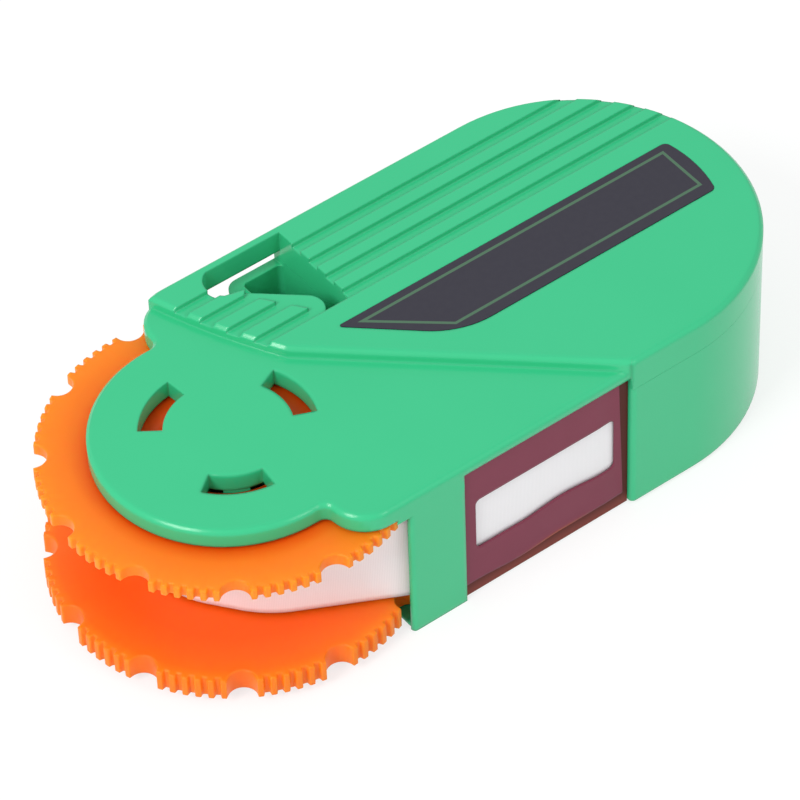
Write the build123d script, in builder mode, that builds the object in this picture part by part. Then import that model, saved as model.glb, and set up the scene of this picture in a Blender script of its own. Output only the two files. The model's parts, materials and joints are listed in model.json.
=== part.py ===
from build123d import *
import os
from math import acos, asin, atan2, cos, degrees, hypot, radians, sin, sqrt, tan

# Reel cassette for cleaning fibre connectors. A toothed reel at the nose winds a woven tape
# from a supply roll in the round end, past a wiping slot in the side of the case.
# The origin is under the middle of the whole cleaner, +X points to the round end,
# -Y is the side with the slot, and +Z is up. Lengths are in millimetres, and a place
# called _from_reel is measured along X from the reel's axis towards the round end.

# Case
axis_distance = 63.9
case_radius = 27.9
case_height = 30.1
step_height = 1.9
lid_depth = 5.7
parting_gap = 0.04
wall = 1.6
roof = 1.7
floor_thickness = 2.0
reel_floor = 1.2
side_inset = 0.4
rim_chamfer = 0.6
base_chamfer = 0.6
nose_radius = 20.5
nose_plate = 3.0
shoulder_from_reel = 2.1
shoulder_radius = 5.9
neck_radius = 1.5

# Edge of the raised top: a slight bow over the nose, then a straight diagonal
step_far_from_reel = 5.4
step_bow_from_reel = 9.5
step_bow_inset = 11.0
step_knee_from_reel = 15.0
step_knee_inset = 21.9

# Lengthwise grooves in the raised top
groove_count = 4
groove_pitch = 4.1
groove_inset = 5.9
groove_width = 2.0
groove_depth = 0.75

# Arc slots and snap fingers of the nose plate
arc_slot_count = 3
arc_slot_inner = 9.5
arc_slot_outer = 13.1
arc_slot_span = 48.0
finger_span = 24.0
finger_thickness = 1.5
finger_clearance = 0.15
barb_depth = 0.9
barb_height = 1.4
barb_gap = 0.3

# Strap opening in the raised top, with a bar on its far side
strap_left_from_reel = 13.2
strap_far_from_reel = 15.2
strap_wall_from_reel = 28.7
strap_hook_from_reel = 23.8
strap_hook_inset = 19.1
strap_bulge_from_reel = 25.4
strap_bulge_inset = 16.5
strap_turn_from_reel = 24.7
strap_turn_inset = 14.6
strap_shelf_from_reel = 17.6
strap_shelf_inset = 8.2
strap_shelf_width = 1.2
strap_edge_from_reel = 14.5
strap_edge_inset = 7.4
strap_left_inset = 5.0
strap_bar_height = 3.8
strap_gap_height = 2.8
strap_web_from_reel = 19.0
strap_web_width = 2.6
strap_web_corner = 2.4
strap_pocket_corner = 0.8
divider = 1.4

# Side window
pillar_from_reel = 11.5
pillar_width = 9.8
pillar_wall = 0.8
pillar_edge_radius = 0.7
block_from_reel = 52.0
block_edge_radius = 0.8
film_recess = 0.4
film_thickness = 0.2
film_end_margin = 1.0
film_bottom = 2.2
frame_thickness = 0.25
frame_bottom = 0.3
frame_opening_margin = 1.5
frame_opening_gap = 0.7
slot_from_reel = 23.5
slot_length = 25.8
slot_height = 10.2
slot_rise = 0.35
slot_corner = 1.2
sheet_gap = 0.1

# Label on the raised top
label_from_reel = 23.4
label_near_y = -7.5
label_far_y = 4.95
label_end_margin = 5.8
label_slope = 43.0
label_tip_radius = 0.3
label_foot_radius = 14.0
label_end_radius = 1.0
label_thickness = 0.3
label_stand = 0.05
label_gap = 0.1

# Take-up reel
reel_radius = 28.4
reel_gap = 0.6
tooth_depth = 0.7
tooth_root = 1.3
tooth_tip = 0.8
tooth_pitch_angle = 3.87
teeth_per_group = 6
notch_count = 12
notch_angle = 25.2
notch_radius = 2.25
notch_depth = 2.1
lower_dial_z = 1.6
lower_dial_thickness = 3.9
upper_dial_thickness = 2.2
reel_head_gap = 0.6
hub_radius = 12.0
hub_wall = 1.1
spigot_length = 2.0
spigot_clearance = 0.05
sleeve_wall = 1.6
sleeve_height = 8.0
running_clearance = 0.1

# Tape and rolls
tape_edge_gap = 0.45
tape_thickness = 0.25
takeup_radius = 13.8
supply_room = 1.1
roll_seat = 0.05
roll_gap = 0.3
tape_wall_gap = 0.15
bow_radius = 17.9
bow_from_reel = 6.0
bow_y = -1.7
bend_radius = 10.5
bend_from_reel = 16.6
tape_wrap = 70.0

# Spindles and supply core
spindle_radius = 6.0
spindle_wall = 1.6
reel_spindle_stand = 0.5
supply_spindle_sink = 0.25
core_radius = 9.0
core_stand = 0.7
core_top_gap = 0.3
lid_boss_wall = 2.0
lid_pin_length = 6.0
lid_pin_clearance = 0.2
clip_depth = 1.2
clip_span = 24.0
clip_slack_angle = 0.5
clip_clearance = 0.1
clip_margin = 1.2
washer_thickness = 0.4
washer_arch = 1.4
washer_width = 2.5
washer_clearance = 0.3
washer_top_gap = 0.1
friction_ring_width = 3.0
friction_ring_gap = 0.1

# Pad and its carrier
pad_from_reel = 24.0
pad_length = 27.0
pad_thickness = 1.6
pad_nose = 1.5
pad_gap = 0.05
carrier_depth = 4.5
carrier_clearance = 0.1
carrier_rib_thickness = 1.6
carrier_roof = 6.95
carrier_rib_margin = 2.0

# Case screws
screw_boss_radius = 3.2
screw_shank_radius = 1.3
screw_head_radius = 2.3
screw_head_height = 1.6
screw_sink = 2.2
screw_engagement = 3.0
screw_clearance = 0.15
far_screw_from_reel = 36.0
far_screw_inset = 6.4
near_screw_from_reel = 40.0
near_screw_y = -9.0

# Places and levels that follow from the driving dimensions
reel_x = (reel_radius - axis_distance - case_radius) / 2
spool_x = reel_x + axis_distance
plateau = case_height - step_height
parting_height = case_height - lid_depth
nose_underside = plateau - nose_plate
near_face = case_radius - side_inset
bay_radius = reel_radius + reel_gap
shoulder_x = reel_x + shoulder_from_reel
pillar_left = reel_x + pillar_from_reel
pillar_right = pillar_left + pillar_width
block_left = reel_x + block_from_reel
film_back = near_face - film_recess - film_thickness
frame_back = film_back - frame_thickness
pillar_inner = near_face - pillar_wall
tape_outer_y = pillar_inner - tape_wall_gap
tape_inner_y = tape_outer_y - tape_thickness
lower_dial_top = lower_dial_z + lower_dial_thickness
upper_dial_z = nose_underside - reel_head_gap - upper_dial_thickness
dial_gap = upper_dial_z - lower_dial_top
tape_z = lower_dial_top + tape_edge_gap
tape_top = upper_dial_z - tape_edge_gap
tape_width = tape_top - tape_z
supply_radius = case_radius - side_inset - 2 * screw_boss_radius - supply_room
core_z = floor_thickness + washer_arch + washer_thickness + washer_top_gap
core_top = tape_top + core_stand
lid_boss_z = core_top + core_top_gap
sleeve_bore = spindle_radius + running_clearance
spindle_bore = spindle_radius - spindle_wall
strap_wall_x = reel_x + strap_wall_from_reel
strap_web_x = reel_x + strap_web_from_reel
far_inner = case_radius - wall
bar_bottom = case_height - strap_bar_height
ledge_z = bar_bottom - strap_gap_height
case_end = spool_x + case_radius
end_screw_x = case_end - screw_boss_radius - side_inset
screw_places = [
    (reel_x + far_screw_from_reel, case_radius - far_screw_inset),
    (reel_x + near_screw_from_reel, near_screw_y),
    (end_screw_x, 0),
]

os.makedirs("parts", exist_ok=True)


def body_outline(height, inset=0.0):
    """Plan of the body alone: two shoulders, straight sides and the round end."""
    near = -near_face
    with BuildSketch(Plane.XY.offset(height)) as plan:
        with BuildLine():
            Line((shoulder_x, near + shoulder_radius), (shoulder_x, case_radius - shoulder_radius))
            CenterArc((shoulder_x + shoulder_radius, case_radius - shoulder_radius), shoulder_radius, 90, 90)
            Line((shoulder_x + shoulder_radius, case_radius), (spool_x, case_radius))
            CenterArc((spool_x, 0), case_radius, -90, 180)
            Polyline(
                (spool_x, -case_radius),
                (block_left, -case_radius),
                (block_left, near),
                (shoulder_x + shoulder_radius, near),
            )
            CenterArc((shoulder_x + shoulder_radius, near + shoulder_radius), shoulder_radius, 180, 90)
        make_face()
        if inset:
            offset(amount=-inset, mode=Mode.REPLACE)
    return plan.sketch


def round_off(centre, start, end):
    """Arc about a centre between two points less than half a turn apart."""
    middle = (start - centre + end - centre).normalized()
    ThreePointArc(start, centre + middle * (start - centre).length, end)


def case_outline(height):
    """Plan of the whole case: the body and the nose, blended by two concave necks."""
    nose = Vector(reel_x, 0)
    left_end = Vector(reel_x - nose_radius, 0)
    with BuildSketch(Plane.XY.offset(height)) as plan:
        with BuildLine():
            nose_ends = []
            for half_width, side in ((case_radius, 1), (near_face, -1)):
                shoulder = Vector(shoulder_x + shoulder_radius, side * (half_width - shoulder_radius))
                across = shoulder - nose
                nose_reach = nose_radius + neck_radius
                shoulder_reach = shoulder_radius + neck_radius
                along = (nose_reach**2 - shoulder_reach**2 + across.length**2) / (2 * across.length)
                aside = sqrt(nose_reach**2 - along**2)
                out = across.normalized()
                neck = nose + out * along + out.rotate(Axis.Z, 90 * side) * aside
                on_nose = neck + (nose - neck).normalized() * neck_radius
                on_shoulder = neck + (shoulder - neck).normalized() * neck_radius
                round_off(neck, on_nose, on_shoulder)
                round_off(shoulder, on_shoulder, shoulder + Vector(0, side * shoulder_radius))
                nose_ends.append(on_nose)
            ThreePointArc(nose_ends[0], left_end, nose_ends[1])
            Line((shoulder_x + shoulder_radius, case_radius), (spool_x, case_radius))
            CenterArc((spool_x, 0), case_radius, -90, 180)
            Polyline(
                (spool_x, -case_radius),
                (block_left, -case_radius),
                (block_left, -near_face),
                (shoulder_x + shoulder_radius, -near_face),
            )
        make_face()
    return plan.sketch


def raised_outline(height, inset=0.0):
    """Plan of the raised top: the body on the far side of the step edge."""
    with BuildSketch(Plane.XY.offset(height)) as plan:
        with BuildLine():
            far = (reel_x + step_far_from_reel, case_radius)
            bow = (reel_x + step_bow_from_reel, case_radius - step_bow_inset)
            knee = (reel_x + step_knee_from_reel, case_radius - step_knee_inset)
            near = (block_left, -case_radius)
            ThreePointArc(far, bow, knee)
            Polyline(knee, near, (case_end, -case_radius), (case_end, case_radius), far)
        make_face()
        add(body_outline(0), mode=Mode.INTERSECT)
        if inset:
            offset(amount=-inset, kind=Kind.INTERSECTION, mode=Mode.REPLACE)
    return plan.sketch


def disc(height, x, radius):
    """Round face about an axis at x."""
    with BuildSketch(Plane.XY.offset(height)) as plan:
        with Locations((x, 0)):
            Circle(radius)
    return plan.sketch


def ring(height, x, inner, outer):
    """Ring-shaped face about an axis at x."""
    with BuildSketch(Plane.XY.offset(height)) as plan:
        with Locations((x, 0)):
            Circle(outer)
            Circle(inner, mode=Mode.SUBTRACT)
    return plan.sketch


def sector(height, x, inner, outer, start, span):
    """Piece of a ring about an axis at x, from a start angle."""
    with BuildSketch(Plane.XY.offset(height)) as plan:
        with BuildLine():
            outer_arc = CenterArc((x, 0), outer, start, span)
            inner_arc = CenterArc((x, 0), inner, start, span)
            Line(outer_arc @ 0, inner_arc @ 0)
            Line(outer_arc @ 1, inner_arc @ 1)
        make_face()
    return plan.sketch


def block(low, high):
    """Plan rectangle between two corners, at the height of the first one."""
    with BuildSketch(Plane.XY.offset(low[2])) as plan:
        with Locations(((low[0] + high[0]) / 2, (low[1] + high[1]) / 2)):
            Rectangle(high[0] - low[0], high[1] - low[1])
    return plan.sketch


def corner_fill(x, y, reach):
    """What rounds an inner far corner at a point, towards +X or -X by the sign of its reach."""
    radius = abs(reach)
    with BuildSketch() as plan:
        with Locations((x + reach / 2, y - radius / 2)):
            Rectangle(radius, radius)
        with Locations((x + reach, y - radius)):
            Circle(radius, mode=Mode.SUBTRACT)
    return plan.sketch


def chamber(height):
    """Plan of the hollow beside the reel, without the walls that divide it."""
    with BuildSketch(Plane.XY.offset(height)) as plan:
        add(body_outline(0, wall))
        with Locations((reel_x, 0)):
            Circle(bay_radius + divider, mode=Mode.SUBTRACT)
        with Locations((strap_wall_x + divider / 2, case_radius / 2)):
            Rectangle(divider, case_radius, mode=Mode.SUBTRACT)
        with Locations((strap_web_x + strap_web_width / 2, case_radius / 2)):
            Rectangle(strap_web_width, case_radius, mode=Mode.SUBTRACT)
        with Locations((strap_web_x / 2 + reel_x / 2, case_radius / 2)):
            Rectangle(strap_web_x - reel_x, case_radius, mode=Mode.SUBTRACT)
        add(corner_fill(strap_web_x + strap_web_width, far_inner, strap_pocket_corner), mode=Mode.SUBTRACT)
        add(corner_fill(strap_wall_x, far_inner, -strap_pocket_corner), mode=Mode.SUBTRACT)
    return plan.sketch


def strap_outline(height):
    """Plan of the strap opening: a triangle with a bowed long side and a hooked corner."""
    with BuildSketch(Plane.XY.offset(height)) as plan:
        with BuildLine():
            hook = (reel_x + strap_hook_from_reel, case_radius - strap_hook_inset)
            bulge = (reel_x + strap_bulge_from_reel, case_radius - strap_bulge_inset)
            turn = (reel_x + strap_turn_from_reel, case_radius - strap_turn_inset)
            shelf = (reel_x + strap_shelf_from_reel, case_radius - strap_shelf_inset)
            edge = (reel_x + strap_edge_from_reel, case_radius - strap_edge_inset)
            left = (reel_x + strap_left_from_reel, case_radius - strap_left_inset)
            far = (reel_x + strap_far_from_reel, far_inner)
            Polyline(far, (strap_wall_x, far_inner), (strap_wall_x, hook[1]), hook)
            ThreePointArc(hook, bulge, turn)
            Polyline(turn, shelf, edge)
            ThreePointArc(edge, left, far)
        make_face()
    return plan.sketch


def strap_shelf_outline(height):
    """Plan of the sunk shelf beside the strap opening: straight from the hook along the lands' ends."""
    shelf = Vector(reel_x + strap_shelf_from_reel, case_radius - strap_shelf_inset)
    with BuildSketch(Plane.XY.offset(height)) as plan:
        Polygon(
            (reel_x + strap_hook_from_reel, case_radius - strap_hook_inset),
            (reel_x + strap_bulge_from_reel, case_radius - strap_bulge_inset),
            (reel_x + strap_turn_from_reel, case_radius - strap_turn_inset),
            shelf,
            shelf - Vector(strap_shelf_width, strap_shelf_width) * sqrt(0.5),
            align=None,
        )
    return plan.sketch


def label_outline(height, margin=0.0):
    """Plan of the label: a strip with a slanted left end and a round right end."""
    tip_x = reel_x + label_from_reel
    foot_x = tip_x + (label_far_y - label_near_y) / tan(radians(label_slope))
    end_radius = case_radius - label_end_margin
    end_start = degrees(asin(label_near_y / end_radius))
    end_span = degrees(asin(label_far_y / end_radius)) - end_start
    with BuildSketch(Plane.XY.offset(height)) as plan:
        with BuildLine():
            end = CenterArc((spool_x, 0), end_radius, end_start, end_span)
            Polyline(end @ 1, (tip_x, label_far_y), (foot_x, label_near_y), end @ 0)
        make_face()
        fillet(plan.vertices().sort_by(Axis.X)[2:], label_end_radius)
        fillet(plan.vertices().sort_by(Axis.X)[1], label_foot_radius)
        fillet(plan.vertices().sort_by(Axis.X)[0], label_tip_radius)
        if margin:
            offset(amount=margin, mode=Mode.REPLACE)
    return plan.sketch


def dial_outline(height):
    """Plan of a reel flange: groups of teeth between round notches."""
    root = reel_radius - tooth_depth
    with BuildSketch(Plane.XY.offset(height)) as plan:
        with Locations((reel_x, 0)):
            Circle(root)
            for tooth in range(teeth_per_group):
                group_turn = 180 / notch_count + (tooth - (teeth_per_group - 1) / 2) * tooth_pitch_angle
                with PolarLocations(0, notch_count, start_angle=notch_angle + group_turn):
                    Polygon(
                        (root - tooth_depth, -tooth_root / 2),
                        (reel_radius, -tooth_tip / 2),
                        (reel_radius, tooth_tip / 2),
                        (root - tooth_depth, tooth_root / 2),
                        align=None,
                    )
            notch_reach = reel_radius - notch_depth + notch_radius
            with PolarLocations(notch_reach, notch_count, start_angle=notch_angle):
                Circle(notch_radius, mode=Mode.SUBTRACT)
    return plan.sketch


def tape_normal(first, second):
    """Direction from two guides' centres to where a tape on their -Y side touches both."""
    run_x = second[0] - first[0]
    run_y = second[1] - first[1]
    turn = degrees(acos((first[2] - second[2]) / hypot(run_x, run_y)))
    return degrees(atan2(run_y, run_x)) - turn


def tape_side(guides, extra):
    """One face of the tape, from where it is wrapped on the first guide round the others to the last."""
    normals = [tape_normal(first, second) for first, second in zip(guides, guides[1:])]
    points = []
    for index, normal in enumerate(normals):
        for x, y, radius in guides[index:index + 2]:
            reach = radius + extra
            points.append((x + reach * cos(radians(normal)), y + reach * sin(radians(normal))))
        Line(points[-2], points[-1])
    for index, (x, y, radius) in enumerate(guides[1:-1]):
        CenterArc((x, y), radius + extra, normals[index], normals[index + 1] - normals[index])
    x, y, radius = guides[0]
    wrap = CenterArc((x, y), radius + extra, normals[0] - tape_wrap, tape_wrap)
    return wrap @ 0, points[-1]


# Lid: nose plate and roof in one moulding, with a raised top, grooves and the strap opening
finger_outer = arc_slot_inner - finger_clearance
barb_top = upper_dial_z - spigot_length - barb_gap
roof_z = plateau - roof
raised_roof_z = case_height - roof
with BuildPart() as raised_top:
    extrude(raised_outline(parting_height), amount=case_height - parting_height)
    chamfer(raised_top.edges().group_by(Axis.Z)[-1], rim_chamfer)
with BuildPart() as upper_case:
    with BuildSketch(Plane.XY.offset(parting_height)) as plateau_plan:
        add(case_outline(0))
        with Locations((block_left - axis_distance, 0)):
            Rectangle(2 * axis_distance, 2 * case_radius, mode=Mode.INTERSECT)
    extrude(amount=plateau - parting_height)
    chamfer(upper_case.edges().group_by(Axis.Z)[-1], rim_chamfer)
    add(raised_top.part)
    for groove in range(groove_count):
        groove_y = case_radius - groove_inset - groove * groove_pitch
        groove_low = (reel_x, groove_y - groove_width / 2, case_height)
        groove_high = (case_end, groove_y + groove_width / 2, case_height)
        extrude(block(groove_low, groove_high), amount=-groove_depth, mode=Mode.SUBTRACT)
    extrude(label_outline(case_height, label_gap), amount=label_stand - label_thickness, mode=Mode.SUBTRACT)
    reel_room = nose_underside - parting_height
    extrude(disc(parting_height, reel_x, bay_radius), amount=reel_room, mode=Mode.SUBTRACT)
    extrude(chamber(parting_height), amount=roof_z - parting_height, mode=Mode.SUBTRACT)
    with BuildSketch(Plane.XY.offset(parting_height)) as raised_hollow:
        add(chamber(0))
        add(raised_outline(0, wall), mode=Mode.INTERSECT)
    extrude(amount=raised_roof_z - parting_height, mode=Mode.SUBTRACT)
    extrude(strap_outline(parting_height), amount=case_height - parting_height, mode=Mode.SUBTRACT)
    extrude(strap_shelf_outline(case_height), amount=-groove_depth, mode=Mode.SUBTRACT)
    skirt_low = (pillar_right, -case_radius, parting_height)
    skirt_high = (block_left, wall - near_face, parting_height)
    extrude(block(skirt_low, skirt_high), amount=roof_z - parting_height, mode=Mode.SUBTRACT)
    with BuildSketch() as pillar:
        with Locations(((pillar_left + pillar_right) / 2, -near_face + pillar_wall / 2)):
            Rectangle(pillar_width, pillar_wall)
        fillet(pillar.vertices().group_by(Axis.X)[0].sort_by(Axis.Y)[0], pillar_edge_radius)
    extrude(amount=parting_height + wall)
    side_low = (reel_x + strap_far_from_reel, far_inner - wall, parting_height)
    side_high = (strap_wall_x, case_radius + wall, bar_bottom)
    extrude(block(side_low, side_high), amount=bar_bottom - parting_height, mode=Mode.SUBTRACT)
    for slot in range(arc_slot_count):
        slot_turn = slot * 360 / arc_slot_count
        slot_start = slot_turn - arc_slot_span / 2
        finger_start = slot_turn - finger_span / 2
        extrude(
            sector(nose_underside, reel_x, arc_slot_inner, arc_slot_outer, slot_start, arc_slot_span),
            amount=nose_plate,
            mode=Mode.SUBTRACT,
        )
        extrude(
            sector(
                barb_top - barb_height, reel_x, finger_outer - finger_thickness, finger_outer,
                finger_start, finger_span,
            ),
            amount=nose_underside - barb_top + barb_height,
        )
        extrude(
            sector(
                barb_top - barb_height, reel_x, finger_outer - finger_thickness, finger_outer + barb_depth,
                finger_start, finger_span,
            ),
            amount=barb_height,
        )
    extrude(
        ring(lid_boss_z, spool_x, sleeve_bore, sleeve_bore + lid_boss_wall),
        amount=raised_roof_z - lid_boss_z,
    )
    extrude(
        disc(lid_boss_z - lid_pin_length, spool_x, spindle_bore - lid_pin_clearance),
        amount=raised_roof_z - lid_boss_z + lid_pin_length,
    )
    for x, y in screw_places:
        with BuildSketch(Plane.XY.offset(parting_height)) as lid_screw_boss:
            with Locations((x, y)):
                Circle(screw_boss_radius)
            add(body_outline(0, wall / 2), mode=Mode.INTERSECT)
        extrude(amount=raised_roof_z - parting_height)
        with BuildSketch(Plane.XY.offset(parting_height)) as lid_screw_hole:
            with Locations((x, y)):
                Circle(screw_shank_radius + running_clearance)
        extrude(amount=screw_engagement, mode=Mode.SUBTRACT)
upper_case.part.label = "upper_case"
export_step(upper_case.part, "parts/upper_case.step")

# Tub: floor, side walls, dividing walls, spindles, pad rib and screw bosses in one moulding
tape_gate_start = degrees(atan2(-near_face, pillar_left - reel_x))
tape_gate_span = 45.0
carrier_front = tape_inner_y - pad_gap - pad_thickness
rib_front = carrier_front - (carrier_depth - carrier_rib_thickness) / 2
rib_left = reel_x + pad_from_reel + carrier_rib_margin
rib_right = rib_left + pad_length - 2 * carrier_rib_margin
rib_height = tape_top - carrier_roof - floor_thickness
above = case_height
with BuildPart() as tub_front:
    with BuildSketch() as front_plan:
        add(body_outline(0))
        with Locations((pillar_left - axis_distance, -case_radius)):
            Rectangle(2 * axis_distance, 2 * case_radius, mode=Mode.SUBTRACT)
        with Locations((strap_web_x - axis_distance, case_radius)):
            Rectangle(2 * axis_distance, 2 * case_radius, mode=Mode.SUBTRACT)
        fillet(front_plan.vertices().group_by(Axis.Y)[-1].sort_by(Axis.X)[0], strap_web_corner)
        with Locations((reel_x, 0)):
            Circle(nose_radius)
        with Locations((block_left - axis_distance, 0)):
            Rectangle(2 * axis_distance, 2 * case_radius, mode=Mode.INTERSECT)
    extrude(amount=parting_height - parting_gap)
    chamfer(tub_front.edges().group_by(Axis.Z)[0].sort_by(Axis.X)[:-1], base_chamfer)
with BuildPart() as tub_end:
    with BuildSketch() as end_plan:
        add(body_outline(0))
        with Locations((block_left + axis_distance, 0)):
            Rectangle(2 * axis_distance, 2 * case_radius, mode=Mode.INTERSECT)
        fillet(end_plan.vertices().group_by(Axis.Y)[0].sort_by(Axis.X)[0], block_edge_radius)
    extrude(amount=parting_height - parting_gap)
    chamfer(tub_end.edges().group_by(Axis.Z)[0].sort_by(Axis.X)[1:], base_chamfer)
with BuildPart() as lower_case:
    add(tub_front.part)
    add(tub_end.part)
    extrude(disc(reel_floor, reel_x, bay_radius), amount=above, mode=Mode.SUBTRACT)
    extrude(chamber(floor_thickness), amount=above, mode=Mode.SUBTRACT)
    with BuildSketch(Plane.XY.offset(floor_thickness)) as tape_gate:
        gate_inner = bay_radius - divider
        gate_outer = bay_radius + 2 * divider
        add(sector(0, reel_x, gate_inner, gate_outer, tape_gate_start, tape_gate_span))
        with Locations((reel_x, -pillar_inner / 2)):
            Rectangle(2 * axis_distance, pillar_inner, mode=Mode.INTERSECT)
    extrude(amount=above, mode=Mode.SUBTRACT)
    pillar_back_low = (pillar_left, -pillar_inner, floor_thickness)
    pillar_back_high = (block_left, -pillar_inner + wall, floor_thickness)
    extrude(block(pillar_back_low, pillar_back_high), amount=above, mode=Mode.SUBTRACT)
    window_low = (pillar_left - divider, -case_radius, 0)
    window_high = (block_left, -frame_back + pad_gap, 0)
    extrude(block(window_low, window_high), amount=above, mode=Mode.SUBTRACT)
    ledge_low = (strap_web_x, bay_radius / 2, ledge_z)
    ledge_high = (strap_wall_x, case_radius, ledge_z)
    extrude(block(ledge_low, ledge_high), amount=above, mode=Mode.SUBTRACT)
    reel_spindle_top = lower_dial_top + sleeve_height + reel_spindle_stand
    extrude(ring(reel_floor, reel_x, spindle_bore, spindle_radius), amount=reel_spindle_top - reel_floor)
    supply_spindle_height = core_top - supply_spindle_sink - floor_thickness
    extrude(ring(floor_thickness, spool_x, spindle_bore, spindle_radius), amount=supply_spindle_height)
    rib_low = (rib_left, -rib_front, floor_thickness)
    rib_high = (rib_right, -rib_front + carrier_rib_thickness, floor_thickness)
    extrude(block(rib_low, rib_high), amount=rib_height)
    for x, y in screw_places:
        with BuildSketch(Plane.XY.offset(floor_thickness)) as screw_boss:
            with Locations((x, y)):
                Circle(screw_boss_radius)
            add(body_outline(0, wall / 2), mode=Mode.INTERSECT)
        extrude(amount=parting_height - floor_thickness)
        with Locations((x, y, 0)):
            Cylinder(
                screw_shank_radius + screw_clearance, 2 * parting_height, mode=Mode.SUBTRACT,
            )
            Cylinder(screw_head_radius + screw_clearance, 2 * screw_sink, mode=Mode.SUBTRACT)
lower_case.part.label = "lower_case"
export_step(lower_case.part, "parts/lower_case.step")

# Label: thin dark plate in a shallow recess of the raised top
with BuildPart() as label:
    extrude(label_outline(case_height + label_stand - label_thickness), amount=label_thickness)
label.part.label = "label"
export_step(label.part, "parts/label.step")

# Window frame: brown sheet between the pillar and the block, open behind the mask
frame_left = pillar_right + sheet_gap
frame_right = block_left - sheet_gap
frame_top = roof_z - sheet_gap
frame_middle = (frame_left + frame_right) / 2
tape_middle_z = (tape_z + tape_top) / 2
with BuildPart() as window_frame:
    with BuildSketch(Plane.XZ.offset(frame_back)) as frame_plan:
        with Locations((frame_middle, (frame_bottom + frame_top) / 2)):
            Rectangle(frame_right - frame_left, frame_top - frame_bottom)
        with Locations((frame_middle, tape_middle_z)):
            Rectangle(
                frame_right - frame_left - 2 * frame_opening_margin,
                tape_width + 2 * frame_opening_gap,
                mode=Mode.SUBTRACT,
            )
    extrude(amount=frame_thickness)
window_frame.part.label = "window_frame"
export_step(window_frame.part, "parts/window_frame.step")

# Slot mask: maroon film on the frame, with the long rounded wiping slot
mask_left = frame_left
mask_right = block_left - film_end_margin
with BuildPart() as slot_mask:
    with BuildSketch(Plane.XZ.offset(film_back)) as mask_plan:
        with Locations(((mask_left + mask_right) / 2, (film_bottom + frame_top) / 2)):
            Rectangle(mask_right - mask_left, frame_top - film_bottom)
        with Locations((reel_x + slot_from_reel + slot_length / 2, tape_middle_z + slot_rise)):
            RectangleRounded(slot_length, slot_height, slot_corner, mode=Mode.SUBTRACT)
    extrude(amount=film_thickness)
slot_mask.part.label = "slot_mask"
export_step(slot_mask.part, "parts/slot_mask.step")

# Pad carrier: block with a groove that slides down over the rib on the floor
carrier_left = reel_x + pad_from_reel
with BuildPart() as pad_carrier:
    carrier_low = (carrier_left, -carrier_front, floor_thickness)
    carrier_high = (carrier_left + pad_length, -carrier_front + carrier_depth, floor_thickness)
    extrude(block(carrier_low, carrier_high), amount=tape_top - floor_thickness)
    groove_low = (rib_left - carrier_clearance, -rib_front - carrier_clearance, floor_thickness)
    groove_high = (
        rib_right + carrier_clearance,
        -rib_front + carrier_rib_thickness + carrier_clearance,
        floor_thickness,
    )
    extrude(
        block(groove_low, groove_high), amount=rib_height + carrier_clearance, mode=Mode.SUBTRACT,
    )
pad_carrier.part.label = "pad_carrier"
export_step(pad_carrier.part, "parts/pad_carrier.step")

# Wiping pad: soft strip on the carrier that backs the tape, rounded where the tape turns
with BuildPart() as wiping_pad:
    with BuildSketch(Plane.XY.offset(tape_z)) as pad_plan:
        with Locations((carrier_left + pad_length / 2, -carrier_front - pad_thickness / 2)):
            Rectangle(pad_length, pad_thickness)
        fillet(pad_plan.vertices().group_by(Axis.Y)[0], pad_nose)
    extrude(amount=tape_width)
wiping_pad.part.label = "wiping_pad"
export_step(wiping_pad.part, "parts/wiping_pad.step")

# Lower dial: toothed flange with the hub that carries the used tape and a bearing sleeve
with BuildPart() as lower_dial:
    extrude(dial_outline(lower_dial_z), amount=lower_dial_thickness)
    extrude(ring(lower_dial_top, reel_x, hub_radius - hub_wall, hub_radius), amount=dial_gap)
    extrude(ring(lower_dial_top, reel_x, sleeve_bore, sleeve_bore + sleeve_wall), amount=sleeve_height)
    extrude(disc(lower_dial_z, reel_x, sleeve_bore), amount=lower_dial_thickness, mode=Mode.SUBTRACT)
    extrude(
        sector(
            tape_z + clip_margin, reel_x, hub_radius - 2 * hub_wall, hub_radius + hub_wall,
            90 - clip_span / 2 - clip_slack_angle, clip_span + 2 * clip_slack_angle,
        ),
        amount=tape_width - 2 * clip_margin,
        mode=Mode.SUBTRACT,
    )
lower_dial.part.label = "lower_dial"
export_step(lower_dial.part, "parts/lower_dial.step")

# Upper dial: toothed flange whose spigot plugs into the hub, and turns round the snap fingers
with BuildPart() as upper_dial:
    extrude(dial_outline(upper_dial_z), amount=upper_dial_thickness)
    extrude(
        disc(upper_dial_z - spigot_length, reel_x, hub_radius - hub_wall - spigot_clearance),
        amount=spigot_length,
    )
    extrude(
        disc(upper_dial_z - spigot_length, reel_x, arc_slot_inner),
        amount=spigot_length + upper_dial_thickness,
        mode=Mode.SUBTRACT,
    )
upper_dial.part.label = "upper_dial"
export_step(upper_dial.part, "parts/upper_dial.step")

# Take-up clip: wedge that holds the tape's end in the hub's slot
with BuildPart() as takeup_clip:
    extrude(
        sector(
            tape_z + clip_margin + clip_clearance, reel_x, hub_radius - hub_wall, hub_radius,
            90 - clip_span / 2, clip_span,
        ),
        amount=tape_width - 2 * (clip_margin + clip_clearance),
    )
takeup_clip.part.label = "takeup_clip"
export_step(takeup_clip.part, "parts/takeup_clip.step")

# Take-up roll: the used tape on the hub
with BuildPart() as takeup_roll:
    extrude(ring(tape_z, reel_x, hub_radius + roll_seat, takeup_radius), amount=tape_width)
takeup_roll.part.label = "takeup_roll"
export_step(takeup_roll.part, "parts/takeup_roll.step")

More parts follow.
